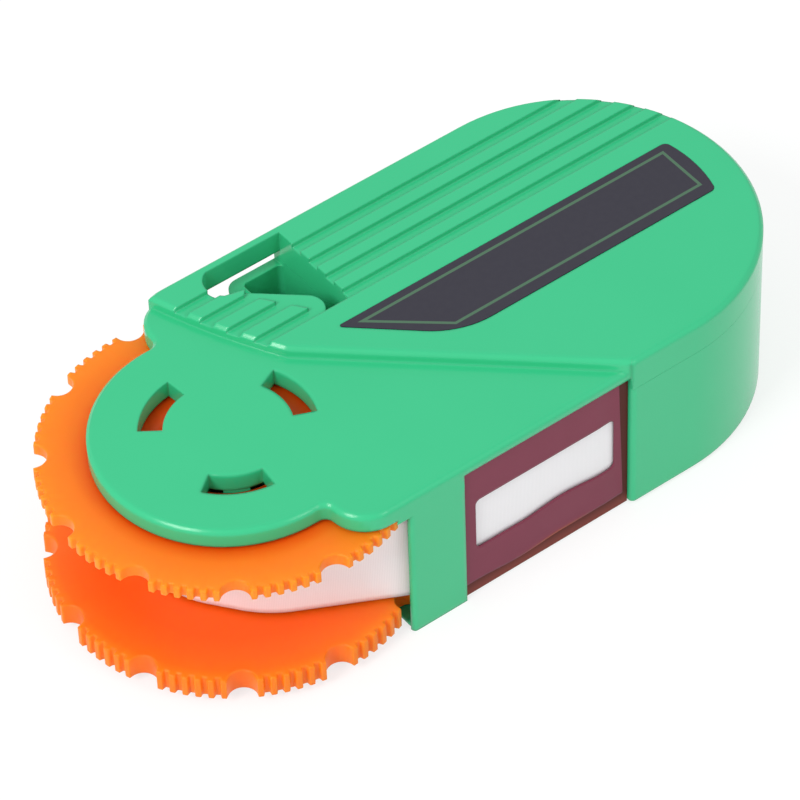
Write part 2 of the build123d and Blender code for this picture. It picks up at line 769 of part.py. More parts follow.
# Tape run: from the take-up roll in a loose bow to the pad, along the slot and to the supply roll
pad_nose_y = -tape_inner_y + pad_gap + pad_nose
tape_guides = [
    (reel_x, 0, takeup_radius + roll_gap),
    (reel_x + bow_from_reel, bow_y, bow_radius),
    (reel_x + bend_from_reel, bend_radius - tape_inner_y, bend_radius),
    (carrier_left + pad_length - pad_nose, pad_nose_y, pad_nose + pad_gap),
    (spool_x, 0, supply_radius + roll_gap),
]
with BuildPart() as tape_run:
    with BuildSketch(Plane.XY.offset(tape_z)) as tape_plan:
        with BuildLine() as tape_faces:
            inner_start, inner_end = tape_side(tape_guides, 0)
            outer_start, outer_end = tape_side(tape_guides, tape_thickness)
            Line(inner_start, outer_start)
            Line(inner_end, outer_end)
        make_face()
    extrude(amount=tape_width)
tape_run.part.label = "tape_run"
export_step(tape_run.part, "parts/tape_run.step")

# Supply core: sleeve that turns on the round end's spindle
with BuildPart() as supply_core:
    extrude(ring(core_z, spool_x, sleeve_bore, core_radius), amount=core_top - core_z)
    extrude(
        sector(
            tape_z + clip_margin, spool_x, core_radius - clip_depth, core_radius + clip_depth,
            90 - clip_span / 2 - clip_slack_angle, clip_span + 2 * clip_slack_angle,
        ),
        amount=tape_width - 2 * clip_margin,
        mode=Mode.SUBTRACT,
    )
supply_core.part.label = "supply_core"
export_step(supply_core.part, "parts/supply_core.step")

# Supply clip: wedge that holds the tape's other end in the core's slot
with BuildPart() as supply_clip:
    extrude(
        sector(
            tape_z + clip_margin + clip_clearance, spool_x,
            core_radius - clip_depth + clip_clearance, core_radius,
            90 - clip_span / 2, clip_span,
        ),
        amount=tape_width - 2 * (clip_margin + clip_clearance),
    )
supply_clip.part.label = "supply_clip"
export_step(supply_clip.part, "parts/supply_clip.step")

# Supply roll: the fresh tape on the core
with BuildPart() as supply_roll:
    extrude(ring(tape_z, spool_x, core_radius + roll_seat, supply_radius), amount=tape_width)
supply_roll.part.label = "supply_roll"
export_step(supply_roll.part, "parts/supply_roll.step")

# Brake washer: spring ring bent about one line, between the floor and the core
washer_inner = spindle_radius + washer_clearance
washer_outer = washer_inner + washer_width
arch_radius = (washer_outer**2 + washer_arch**2) / (2 * washer_arch)
with BuildPart() as brake_washer:
    extrude(ring(floor_thickness, spool_x, washer_inner, washer_outer), amount=core_z - floor_thickness)
    with BuildSketch(Plane.XZ) as arch:
        with Locations((spool_x, floor_thickness + washer_arch + washer_thickness - arch_radius)):
            Circle(arch_radius)
            Circle(arch_radius - washer_thickness, mode=Mode.SUBTRACT)
    extrude(amount=washer_outer, both=True, mode=Mode.INTERSECT)
brake_washer.part.label = "brake_washer"
export_step(brake_washer.part, "parts/brake_washer.step")

# Friction ring: felt on the floor under the lower dial, which keeps the reel from running back
friction_inner = spindle_radius + washer_clearance
with BuildPart() as friction_ring:
    extrude(
        ring(reel_floor, reel_x, friction_inner, friction_inner + friction_ring_width),
        amount=lower_dial_z - reel_floor - friction_ring_gap,
    )
friction_ring.part.label = "friction_ring"
export_step(friction_ring.part, "parts/friction_ring.step")

# Case screws: self-tapping, from below into the lid's bosses
screw_seat = screw_sink - screw_head_height
with BuildPart() as case_screws:
    for x, y in screw_places:
        with BuildSketch(Plane.XY.offset(screw_seat)) as screw_head:
            with Locations((x, y)):
                Circle(screw_head_radius)
        extrude(amount=screw_head_height)
        with BuildSketch(Plane.XY.offset(screw_sink)) as screw_shank:
            with Locations((x, y)):
                Circle(screw_shank_radius)
        extrude(amount=parting_height + screw_engagement - screw_clearance - screw_sink)
case_screws.part.label = "case_screws"
export_step(case_screws.part, "parts/case_screws.step")
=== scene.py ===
import json

import bmesh
import bpy
import numpy as np
from mathutils import Matrix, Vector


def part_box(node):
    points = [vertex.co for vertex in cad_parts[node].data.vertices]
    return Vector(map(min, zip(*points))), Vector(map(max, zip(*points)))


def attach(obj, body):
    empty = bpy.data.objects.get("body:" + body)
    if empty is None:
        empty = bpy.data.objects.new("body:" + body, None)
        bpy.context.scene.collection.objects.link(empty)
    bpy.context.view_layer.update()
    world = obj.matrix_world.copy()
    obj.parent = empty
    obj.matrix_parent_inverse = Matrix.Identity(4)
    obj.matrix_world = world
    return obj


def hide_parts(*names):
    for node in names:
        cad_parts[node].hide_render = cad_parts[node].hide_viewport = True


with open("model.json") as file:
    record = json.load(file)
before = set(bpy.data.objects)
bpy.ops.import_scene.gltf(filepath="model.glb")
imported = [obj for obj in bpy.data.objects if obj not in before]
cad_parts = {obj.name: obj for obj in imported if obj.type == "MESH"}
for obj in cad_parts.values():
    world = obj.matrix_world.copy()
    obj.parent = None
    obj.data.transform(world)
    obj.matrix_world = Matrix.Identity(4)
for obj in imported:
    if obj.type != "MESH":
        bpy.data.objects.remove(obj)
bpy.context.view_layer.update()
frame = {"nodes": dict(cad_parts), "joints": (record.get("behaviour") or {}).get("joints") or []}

# Lower case: the green tub that carries the reel, the tape and the wiping window. It is injection
# moulded in glossy ABS, in one shot with its spindles and bosses, so its edges are softly rounded.
mm = 0.001
rim_round = 0.9 * mm
rib_round = 0.5 * mm
ribs_from_y = 7.0 * mm
rib_blend = 2 * mm
parting_height = 24.4 * mm
parting_crisp = 0.2 * mm
parting_soft = 1.4 * mm
weld_distance = 0.001 * mm
case_green = (0.042, 0.55, 0.252, 1)
case_green_deep = (0.036, 0.525, 0.236, 1)


def add_piece(name, mesh):
    """A mesh as an object of the scene, at the origin."""
    piece = bpy.data.objects.new(name, mesh)
    bpy.context.scene.collection.objects.link(piece)
    return piece


def merged_copy(node, name):
    """A solid's loose triangles, with shared corners merged and flat areas made whole."""
    mesh = frame["nodes"][node].data.copy()
    mesh.name = name
    mesh.materials.clear()
    shell = bmesh.new()
    shell.from_mesh(mesh)
    bmesh.ops.remove_doubles(shell, verts=shell.verts, dist=weld_distance)
    flat_turn = np.radians(0.3)
    bmesh.ops.dissolve_limit(
        shell, angle_limit=flat_turn, use_dissolve_boundaries=False,
        verts=shell.verts, edges=shell.edges,
    )
    shell.to_mesh(mesh)
    shell.free()
    piece = add_piece(name, mesh)
    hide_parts(node)
    return piece


def shade_softly(piece, sharp_turn=30):
    """Edges that turn by less than an angle blend, and each flat area keeps its own direction."""
    shell = bmesh.new()
    shell.from_mesh(piece.data)
    for face in shell.faces:
        face.smooth = True
    sharp_angle = float(np.radians(sharp_turn))
    for edge in shell.edges:
        edge.smooth = edge.calc_face_angle(np.pi) < sharp_angle
    shell.to_mesh(piece.data)
    shell.free()
    shading = piece.modifiers.new("Flat areas", "WEIGHTED_NORMAL")
    shading.mode = "FACE_AREA_WITH_ANGLE"
    shading.weight = 50
    shading.keep_sharp = True


def graph(name):
    """A new material with its shader, a way to plug values into sockets, and a way to add nodes."""
    material = bpy.data.materials.new(name)
    material.use_nodes = True
    tree = material.node_tree
    shader = tree.nodes["Principled BSDF"]

    def plug(value, socket):
        """A link from another node's output, or a plain value, into a socket."""
        if isinstance(value, bpy.types.NodeSocket):
            tree.links.new(value, socket)
        else:
            socket.default_value = value

    def add(kind, *ordered, **values):
        """A node of a kind, with its inputs in order, its properties, and its inputs by name."""
        node = tree.nodes.new("ShaderNode" + kind)
        for index, value in enumerate(ordered):
            plug(value, node.inputs[index])
        for key, value in values.items():
            socket = node.inputs.get(key.replace("_", " ").title())
            if socket is None:
                setattr(node, key, value)
            else:
                plug(value, socket)
        return node

    return material, plug, shader, add


def moulded_plastic(name, colour, deep_colour, roughness, grain_height, edge_round):
    """Moulded plastic: slow drifts of colour and gloss from the flow of the melt, over a fine
    grain, with the small radius of the mould at its edges."""
    glossier = 0.05
    duller = 0.06
    material, plug, shader, add = graph(name)
    place = add("TexCoord").outputs["Object"]
    flow = add("TexNoise", vector=place, scale=55, detail=3).outputs["Fac"]
    tone = add("MixRGB", fac=flow, color1=colour, color2=deep_colour)
    gloss = add("MapRange", value=flow, to_min=roughness - glossier, to_max=roughness + duller)
    grain = add("TexNoise", vector=place, scale=2600, detail=2).outputs["Fac"]
    edges = add("Bevel", radius=edge_round, samples=16)
    rounded = edges.outputs["Normal"]
    relief = add("Bump", height=grain, strength=0.2, distance=grain_height, normal=rounded)
    plug(tone.outputs["Color"], shader.inputs["Base Color"])
    plug(gloss.outputs["Result"], shader.inputs["Roughness"])
    plug(relief.outputs["Normal"], shader.inputs["Normal"])
    return material, plug, shader, add, place, tone.outputs["Color"], edges


green_plastic, plug, green_shader, green_add, case_place, _, case_edges = moulded_plastic(
    "Green moulded plastic", case_green, case_green_deep,
    roughness=0.2, grain_height=0.012 * mm, edge_round=rim_round,
)
green_shader.inputs["Specular IOR Level"].default_value = 0.4
# The rounding fades out at the parting line, where the two halves meet crisply, and is smaller
# among the ribs.
case_axes = green_add("SeparateXYZ", case_place).outputs
above_parting = green_add("Math", case_axes["Z"], parting_height, operation="SUBTRACT")
from_parting = green_add("Math", above_parting.outputs["Value"], operation="ABSOLUTE")
away_from_parting = green_add(
    "MapRange", value=from_parting.outputs["Value"], from_min=parting_crisp, from_max=parting_soft,
)
side_round = green_add(
    "MapRange", value=case_axes["Y"], from_min=ribs_from_y - rib_blend, from_max=ribs_from_y,
    to_min=rim_round, to_max=rib_round,
)
edge_round = green_add(
    "Math", away_from_parting.outputs["Result"], side_round.outputs["Result"], operation="MULTIPLY",
)
plug(edge_round.outputs["Value"], case_edges.inputs["Radius"])

tub = merged_copy("lower_case", "tub")
shade_softly(tub)
tub.data.materials.append(green_plastic)
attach(tub, "case")

# Friction ring: a die-cut ring of grey felt on the tub's floor. The reel drags on it, so that the
# tape can't run back. Its cut edges are soft and a little crowned.
ring_low, ring_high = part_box("friction_ring")
reel_axis = np.array(frame["joints"][0]["pos_m"])
felt_width = 3.0 * mm
felt_edge = 0.1 * mm
felt_steps = 120
felt_grey = (0.2, 0.2, 0.19, 1)
felt_light = (0.34, 0.34, 0.32, 1)


def grid_mesh(name, points, closed_rows=False, closed_columns=False):
    """Quads over a grid of points, rows by columns, with either direction joined end to end."""
    rows, columns = points.shape[:2]
    index = np.arange(rows * columns).reshape(rows, columns)
    if closed_rows:
        index = np.concatenate([index, index[:1]], axis=0)
    if closed_columns:
        index = np.concatenate([index, index[:, :1]], axis=1)
    quads = np.stack([index[:-1, :-1], index[1:, :-1], index[1:, 1:], index[:-1, 1:]], axis=-1)
    mesh = bpy.data.meshes.new(name)
    mesh.from_pydata(points.reshape(-1, 3), [], quads.reshape(-1, 4))
    mesh.polygons.foreach_set("use_smooth", np.ones(len(mesh.polygons), dtype=bool))
    mesh.update()
    return mesh


def turned(axis, radii, heights, steps):
    """A closed section of radii and heights carried round an upright axis, section by section."""
    angle = np.linspace(0, 2 * np.pi, steps, endpoint=False)[:, None]
    return np.stack(
        [
            axis[0] + np.cos(angle) * radii,
            axis[1] + np.sin(angle) * radii,
            np.broadcast_to(heights, (steps, len(heights))),
        ],
        axis=-1,
    )


def rounded_section(inner, outer, bottom, top, edge, corner_points=5):
    """A rectangle's outline, each corner a quarter circle, anticlockwise from the inner bottom."""
    quarter = np.linspace(0, np.pi / 2, corner_points)
    turn = np.concatenate([quarter + np.pi + start for start in np.arange(4) * np.pi / 2])
    side = np.repeat([0, 1, 1, 0], corner_points)
    level = np.repeat([0, 0, 1, 1], corner_points)
    radii = inner + edge + side * (outer - inner - 2 * edge) + edge * np.cos(turn)
    heights = bottom + edge + level * (top - bottom - 2 * edge) + edge * np.sin(turn)
    return radii, heights


felt_outer = (ring_high.x - ring_low.x) / 2
felt_section = rounded_section(
    felt_outer - felt_width, felt_outer, ring_low.z, ring_high.z, felt_edge,
)
felt_ring = add_piece(
    "felt_ring",
    grid_mesh("felt_ring", turned(reel_axis, *felt_section, felt_steps), True, True),
)
felt, plug, felt_shader, felt_add = graph("Grey felt")
fibre = felt_add("TexNoise", vector=felt_add("TexCoord").outputs["Object"], scale=3200, detail=4)
fibre_tone = felt_add("MixRGB", fac=fibre.outputs["Fac"], color1=felt_grey, color2=felt_light)
fibre_relief = felt_add("Bump", height=fibre.outputs["Fac"], strength=0.8, distance=0.08 * mm)
plug(fibre_tone.outputs["Color"], felt_shader.inputs["Base Color"])
plug(fibre_relief.outputs["Normal"], felt_shader.inputs["Normal"])
felt_shader.inputs["Roughness"].default_value = 0.95
felt_shader.inputs["Sheen Weight"].default_value = 0.3
felt_ring.data.materials.append(felt)
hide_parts("friction_ring")
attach(felt_ring, "case")

# Reel dials: two toothed flanges of translucent orange plastic that the thumb turns. The lower one
# is moulded with the hub and its bearing sleeve, and the upper one plugs into the hub.
notch_count = 12
notch_turn = np.radians(25.2)
notch_radius = 2.25 * mm
notch_depth = 2.1 * mm
teeth_per_group = 6
tooth_pitch = np.radians(3.87)
tooth_depth = 0.7 * mm
tooth_root = 1.3 * mm
tooth_tip = 0.8 * mm
dial_edge_round = 0.3 * mm
hub_radius = 12.0 * mm
hub_wall = 1.1 * mm
hub_edge_round = 0.15 * mm
hub_steps = 144
plug_gap = 0.05 * mm
sunk_joint = 0.4 * mm
lower_flange = 3.9 * mm
sleeve_bore = 6.1 * mm
sleeve_wall = 1.6 * mm
sleeve_height = 8.0 * mm
finger_bore = 9.5 * mm
spigot_length = 2.0 * mm
dial_steps = 1440
melt_clear = (1, 1, 1, 1)
melt_deep = (0.985, 0.9, 0.88, 1)
# Painted shade: both dials' tints turn darker and redder towards the axis, where the nose plate and
# the upper dial shade them, and lighter towards the rim.
painted_shade_from = 20.0 * mm
upper_shade_tints = (
    (0.0, (0.95, 0.085, 0.003, 1)),
    (0.12, (0.98, 0.13, 0.004, 1)),
    (0.35, (0.99, 0.21, 0.009, 1)),
    (0.9, (0.99, 0.265, 0.011, 1)),
    (1.0, (0.99, 0.295, 0.011, 1)),
)
lower_shade_tints = (
    (0.0, (0.96, 0.13, 0.006, 1)),
    (0.45, (0.97, 0.155, 0.009, 1)),
    (0.75, (0.98, 0.18, 0.01, 1)),
    (0.9, (0.98, 0.23, 0.01, 1)),
    (1.0, (0.98, 0.24, 0.008, 1)),
)


def dial_reach(angle, reach, inset):
    """Radius of the toothed rim at an angle: tooth flanks rise from the root circle, round notches
    cut in between the groups, and an inset shrinks the teeth and widens the notches."""
    group = 2 * np.pi / notch_count
    from_notch = (angle - notch_turn + group / 2) % group - group / 2
    from_group = (angle - notch_turn) % group - group / 2
    last = (teeth_per_group - 1) / 2
    nearest = np.clip(np.round(from_group / tooth_pitch - last % 1) + last % 1, -last, last)
    aside = np.abs(from_group - nearest * tooth_pitch) * reach
    flank = np.clip((tooth_root / 2 - inset - aside) * 2 / (tooth_root - tooth_tip), 0, 1)
    toothed = reach - inset - tooth_depth + tooth_depth * flank * flank * (3 - 2 * flank)
    notch_centre = reach - notch_depth + notch_radius
    across = (notch_radius + inset) ** 2 - (notch_centre * np.sin(from_notch)) ** 2
    notch = notch_centre * np.cos(from_notch) - np.sqrt(np.maximum(across, 0))
    return np.where(across > 0, np.minimum(toothed, notch), toothed)


def flange_points(reach, bore, bottom, top, edge, edge_points=6, ring_count=7):
    """A flange's closed section carried round the reel's axis: from the bore over the top, down the
    toothed rim with an inset that follows a quarter circle at both edges, and back underneath."""
    quarter = np.linspace(0, np.pi / 2, edge_points)
    rings = np.linspace(0.0, 1.0, ring_count + 1)[:-1]
    rising = edge * (1 - np.sin(quarter))
    falling = edge * (1 - np.cos(quarter))
    inset = np.concatenate([rising, falling])
    drop = np.concatenate([falling, top - bottom - rising])
    angle = np.linspace(0, 2 * np.pi, dial_steps, endpoint=False)[:, None]
    rim = dial_reach(angle, reach, inset[None, :])
    top_rings = bore + (rim[:, :1] - bore) * rings
    radii = np.concatenate([top_rings, rim, top_rings[:, ::-1]], axis=1)
    heights = np.concatenate([np.full(len(rings), top), top - drop, np.full(len(rings), bottom)])
    return np.stack(
        [
            reel_axis[0] + np.cos(angle) * radii,
            reel_axis[1] + np.sin(angle) * radii,
            np.broadcast_to(heights, radii.shape),
        ],
        axis=-1,
    )


def joined_mesh(name, *grids):
    """Several closed grids as one mesh."""
    shell = bmesh.new()
    for points in grids:
        part = grid_mesh(name, points, True, True)
        shell.from_mesh(part)
        bpy.data.meshes.remove(part)
    bmesh.ops.recalc_face_normals(shell, faces=shell.faces)
    mesh = bpy.data.meshes.new(name)
    shell.to_mesh(mesh)
    shell.free()
    return mesh


low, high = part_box("upper_dial")
dial_reach_out = (high.x - low.x) / 2


def dial_plastic(name, shade_tints):
    """Translucent orange plastic with painted shade: darker and redder towards the hub, where the
    nose plate and the upper dial shade it, and lighter towards the rim: a ramp of tints over the
    distance from the reel's axis, times the drifts of the melt."""
    material, plug, shader, add, place, melt, _ = moulded_plastic(
        name, melt_clear, melt_deep,
        roughness=0.38, grain_height=0.012 * mm, edge_round=0.15 * mm,
    )
    # The ramp of tints paints the shade: darker and redder near the axis.
    level_place = add("VectorMath", place, (1, 1, 0), operation="MULTIPLY").outputs["Vector"]
    level_axis = (reel_axis[0], reel_axis[1], 0)
    from_axis = add("VectorMath", level_place, level_axis, operation="DISTANCE").outputs["Value"]
    outwards = add("MapRange", value=from_axis, from_min=painted_shade_from, from_max=dial_reach_out)
    ramp = add("ValToRGB", outwards.outputs["Result"])
    stops = ramp.color_ramp.elements
    while len(stops) < len(shade_tints):
        stops.new(0.5)
    for stop, (position, shade_tint) in zip(stops, shade_tints):
        stop.position = position
        stop.color = shade_tint
    shade_tint = ramp.outputs["Color"]
    orange = add("MixRGB", fac=1.0, color1=shade_tint, color2=melt, blend_type="MULTIPLY")
    plug(orange.outputs["Color"], shader.inputs["Base Color"])
    shader.inputs["Specular IOR Level"].default_value = 0.25
    shader.inputs["Subsurface Weight"].default_value = 0.6
    shader.inputs["Subsurface Radius"].default_value = (1.0, 0.3, 0.05)
    shader.inputs["Subsurface Scale"].default_value = 2.5 * mm
    return material


def collar_points(inner, outer, bottom, top):
    """A round collar about the reel's axis: a rectangle with small round corners, carried round."""
    section = rounded_section(inner, outer, bottom, top, hub_edge_round)
    return turned(reel_axis, *section, hub_steps)


upper_bottom = low.z + spigot_length
spigot_radius = hub_radius - hub_wall - plug_gap
upper_dial = add_piece(
    "upper_toothed_dial",
    joined_mesh(
        "upper_toothed_dial",
        flange_points(dial_reach_out, finger_bore, upper_bottom, high.z, dial_edge_round),
        collar_points(finger_bore, spigot_radius, low.z, upper_bottom + sunk_joint),
    ),
)
low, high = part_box("lower_dial")
lower_top = low.z + lower_flange
collar_bottom = lower_top - sunk_joint
sleeve_radius = sleeve_bore + sleeve_wall
lower_dial = add_piece(
    "lower_toothed_dial",
    joined_mesh(
        "lower_toothed_dial",
        flange_points(dial_reach_out, sleeve_bore, low.z, lower_top, dial_edge_round),
        collar_points(hub_radius - hub_wall, hub_radius, collar_bottom, high.z),
        collar_points(sleeve_bore, sleeve_radius, collar_bottom, lower_top + sleeve_height),
    ),
)
for dial, node, plastic in (
    (upper_dial, "upper_dial", dial_plastic("Orange plastic", upper_shade_tints)),
    (lower_dial, "lower_dial", dial_plastic("Thick orange plastic", lower_shade_tints)),
):
    dial.data.materials.append(plastic)
    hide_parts(node)
    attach(dial, "reel")

# Tape rolls: the woven tape wound on the reel's hub after use, and the fresh tape on the supply
# core. Each is one long ribbon in a tight spiral.
supply_axis = np.array(frame["joints"][1]["pos_m"])
core_radius = 9.0 * mm
wind_gap = 0.05 * mm
roll_steps = 72
tape_thickness = 0.25 * mm
woven_thickness = 0.8 * tape_thickness
tape_white = (0.95, 0.94, 0.96, 1)
tape_shade = (0.88, 0.87, 0.89, 1)


def spiral_ribbon(name, axis, inner, outer, bottom, top, steps_per_turn, rows=3):
    """A ribbon on edge whose radius grows by its thickness with each turn, with its middle line
    half a thickness inside the roll's own faces."""
    half = tape_thickness / 2
    turns = round((outer - inner) / tape_thickness)
    angle = np.linspace(0, 2 * np.pi * turns, turns * steps_per_turn + 1)[:, None]
    radius = np.linspace(inner + half, outer - half, len(angle))[:, None]
    height = np.linspace(bottom, top, rows)[None, :]
    points = np.stack(
        [
            axis[0] + radius * np.cos(angle) + 0 * height,
            axis[1] + radius * np.sin(angle) + 0 * height,
            height + 0 * angle,
        ],
        axis=-1,
    )
    ribbon = add_piece(name, grid_mesh(name, points))
    wall = ribbon.modifiers.new("Tape thickness", "SOLIDIFY")
    wall.thickness = woven_thickness
    wall.offset = 0
    return ribbon


def woven_cloth(name, colour, shade, weave_width):
    """Plain weave on the cloth's own UV in metres: crossed waves for warp and weft. A wave texture
    of scale 1 has a little over three bands to a metre."""
    bands_per_metre = 3.14
    material, plug, shader, add = graph(name)
    place = add("UVMap", uv_map="cloth").outputs["UV"]
    thread_scale = 1 / weave_width / bands_per_metre
    warp = add("TexWave", vector=place, scale=thread_scale, bands_direction="X").outputs["Fac"]
    weft = add("TexWave", vector=place, scale=thread_scale, bands_direction="Y").outputs["Fac"]
    crossing = add("Math", warp, weft, operation="MULTIPLY").outputs["Value"]
    tone = add("MixRGB", fac=warp, color1=shade, color2=colour)
    relief = add("Bump", height=crossing, strength=0.6, distance=0.03 * mm)
    plug(tone.outputs["Color"], shader.inputs["Base Color"])
    plug(relief.outputs["Normal"], shader.inputs["Normal"])
    shader.inputs["Roughness"].default_value = 0.85
    shader.inputs["Sheen Weight"].default_value = 0.25
    return material


roll_edge, plug, roll_shader, roll_add = graph("Wound tape")
roll_place = roll_add("TexCoord").outputs["Object"]
threads = roll_add("TexNoise", vector=roll_place, scale=2500, detail=3).outputs["Fac"]
threads_tone = roll_add("MixRGB", fac=threads, color1=tape_shade, color2=tape_white)
threads_relief = roll_add("Bump", height=threads, strength=0.5, distance=0.05 * mm)
plug(threads_tone.outputs["Color"], roll_shader.inputs["Base Color"])
plug(threads_relief.outputs["Normal"], roll_shader.inputs["Normal"])
roll_shader.inputs["Roughness"].default_value = 0.9

for node, body, axis, core in (
    ("takeup_roll", "reel", reel_axis, hub_radius),
    ("supply_roll", "supply", supply_axis, core_radius),
):
    low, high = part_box(node)
    roll_radius = (high.x - low.x) / 2
    roll = spiral_ribbon(
        "wound_" + node, axis, core + wind_gap, roll_radius, low.z, high.z, roll_steps,
    )
    roll.data.materials.append(roll_edge)
    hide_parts(node)
    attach(roll, body)

# Inner pieces: the supply core, the two wedge clips that hold the tape's ends and the carrier
# behind the pad are moulded in natural plastic. The brake washer is bent from spring steel strip.
inner_white = (0.7, 0.69, 0.64, 1)
inner_shade = (0.62, 0.61, 0.56, 1)
steel_bright = (0.62, 0.61, 0.6, 1)
steel_dark = (0.4, 0.4, 0.41, 1)


def dress(node, material):
    """A solid of the frame gets a finish in place of its plain one."""
    for place in frame["nodes"][node].material_slots:
        place.material = material


def rolled_steel(name, roughness):
    """Bright steel: fine streaks along one direction from rolling, in tone and in gloss."""
    gloss_swing = 0.08
    material, plug, shader, add = graph(name)
    stretch = add("Mapping", add("TexCoord").outputs["Object"], scale=(300, 4000, 4000))
    streak = add("TexNoise", vector=stretch.outputs["Vector"], scale=1, detail=3).outputs["Fac"]
    tone = add("MixRGB", fac=streak, color1=steel_dark, color2=steel_bright)
    glossy = roughness - gloss_swing
    gloss = add("MapRange", value=streak, to_min=glossy, to_max=roughness + gloss_swing)
    plug(tone.outputs["Color"], shader.inputs["Base Color"])
    plug(gloss.outputs["Result"], shader.inputs["Roughness"])
    shader.inputs["Metallic"].default_value = 1
    return material


inner_plastic = moulded_plastic(
    "Natural moulded plastic", inner_white, inner_shade,
    roughness=0.42, grain_height=0.015 * mm, edge_round=0.2 * mm,
)[0]
for node in ("supply_core", "takeup_clip", "supply_clip", "pad_carrier"):
    dress(node, inner_plastic)
dress("brake_washer", rolled_steel("Spring steel", roughness=0.3))

# Wiping pad: a strip of soft closed-cell rubber glued to its carrier. It presses the tape outwards
# behind the slot, so its face is crowned and its cut edges are round.
pad_low, pad_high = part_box("wiping_pad")
pad_grey = (0.05, 0.05, 0.055, 1)
pad_light = (0.085, 0.085, 0.09, 1)
pole_weld = 0.0005 * mm


def crowned_block(low, high, long_power, thin_power, columns=128, rows=65):
    """A superellipsoid: the half size along each side, times a sine or cosine whose size is raised
    to a small power while its sign stays."""
    turn = np.linspace(-np.pi, np.pi, columns, endpoint=False)[None, :]
    tilt = np.linspace(-np.pi / 2, np.pi / 2, rows)[:, None]

    def soft(value, power):
        """A value's size raised to a power, with its sign."""
        return np.sign(value) * np.abs(value) ** power

    middle = (np.array(low) + np.array(high)) / 2
    half = (np.array(high) - np.array(low)) / 2
    belt = soft(np.cos(tilt), long_power)
    unit = np.stack(
        [
            belt * soft(np.cos(turn), thin_power),
            belt * soft(np.sin(turn), thin_power),
            soft(np.sin(tilt), long_power) + 0 * turn,
        ],
        axis=-1,
    )
    return middle + half * unit


def closed_mesh(name, points):
    """A grid of rings as a closed mesh, with the points of each pole merged into one."""
    mesh = grid_mesh(name, points, closed_columns=True)
    shell = bmesh.new()
    shell.from_mesh(mesh)
    bmesh.ops.remove_doubles(shell, verts=shell.verts, dist=pole_weld)
    bmesh.ops.recalc_face_normals(shell, faces=shell.faces)
    shell.to_mesh(mesh)
    shell.free()
    return mesh


pad_points = crowned_block(pad_low, pad_high, long_power=0.12, thin_power=0.2)
pad = add_piece("soft_pad", closed_mesh("soft_pad", pad_points))
rubber, plug, rubber_shader, rubber_add = graph("Closed-cell rubber")
cells = rubber_add("TexVoronoi", vector=rubber_add("TexCoord").outputs["Object"], scale=2200)
cell_tone = rubber_add("MixRGB", fac=cells.outputs["Distance"], color1=pad_grey, color2=pad_light)
cell_relief = rubber_add("Bump", height=cells.outputs["Distance"], strength=0.6, distance=0.05 * mm)
plug(cell_tone.outputs["Color"], rubber_shader.inputs["Base Color"])
plug(cell_relief.outputs["Normal"], rubber_shader.inputs["Normal"])
rubber_shader.inputs["Roughness"].default_value = 0.85
pad.data.materials.append(rubber)
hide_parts("wiping_pad")
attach(pad, "case")

# Cleaning tape: the stretch of white woven tape that leaves the supply roll, bends over the pad's
# rounded end, is pressed towards the slot by the pad and bows loosely on to the reel.
tape_low, tape_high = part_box("tape_run")
takeup_low, takeup_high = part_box("takeup_roll")
supply_low, supply_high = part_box("supply_roll")
roll_gap = 0.3 * mm
pad_gap = 0.05 * mm
pad_nose = 1.5 * mm
bow_radius = 17.9 * mm
bow_from_reel = 6.0 * mm
bow_y = -1.7 * mm
bend_radius = 10.5 * mm
bend_from_reel = 16.6 * mm
wrap_turn = np.radians(70)
wrap_points = 40
arc_points = 24
tape_rows = 17
pressed_out = 0.18 * mm
pressed_within = 0.1 * mm
tape_inner_y = pad_low.y - pad_gap
tape_guides = np.array(
    [
        (reel_axis[0], 0, (takeup_high.x - takeup_low.x) / 2 + roll_gap),
        (reel_axis[0] + bow_from_reel, bow_y, bow_radius),
        (reel_axis[0] + bend_from_reel, tape_inner_y + bend_radius, bend_radius),
        (pad_high.x - pad_nose, pad_low.y + pad_nose, pad_nose + pad_gap),
        (supply_axis[0], 0, (supply_high.x - supply_low.x) / 2 + roll_gap),
    ]
)


def taut_path(guides, extra, spacing):
    """Line of a band stretched along the -Y side of round guides: common tangents between them,
    arcs about them, and a wrap on the first that sinks to its roll, in points a spacing apart."""
    runs = np.diff(guides[:, :2], axis=0)
    normal = np.arctan2(runs[:, 1], runs[:, 0]) - np.arccos(
        -np.diff(guides[:, 2]) / np.hypot(runs[:, 0], runs[:, 1])
    )
    direction = np.stack([np.cos(normal), np.sin(normal)], axis=-1)
    leave = guides[:-1, :2] + (guides[:-1, 2:] + extra) * direction
    reach = guides[1:, :2] + (guides[1:, 2:] + extra) * direction
    wrap = np.linspace(normal[0] - wrap_turn, normal[0], wrap_points)[:-1, None]
    sunk = roll_gap * np.linspace(1, 0, wrap_points)[:-1, None] ** 2
    x, y, radius = guides[0]
    circle = np.concatenate([np.cos(wrap), np.sin(wrap)], axis=1)
    stretches = [np.array([x, y]) + (radius + extra - sunk) * circle]
    for number in range(len(normal)):
        steps = int(np.hypot(*(reach[number] - leave[number])) / spacing) + 2
        stretches.append(np.linspace(leave[number], reach[number], steps))
        if number + 1 < len(normal):
            turn = np.linspace(normal[number], normal[number + 1], arc_points)[1:-1, None]
            x, y, radius = guides[number + 1]
            circle = np.concatenate([np.cos(turn), np.sin(turn)], axis=1)
            stretches.append(np.array([x, y]) + (radius + extra) * circle)
    return np.concatenate(stretches)


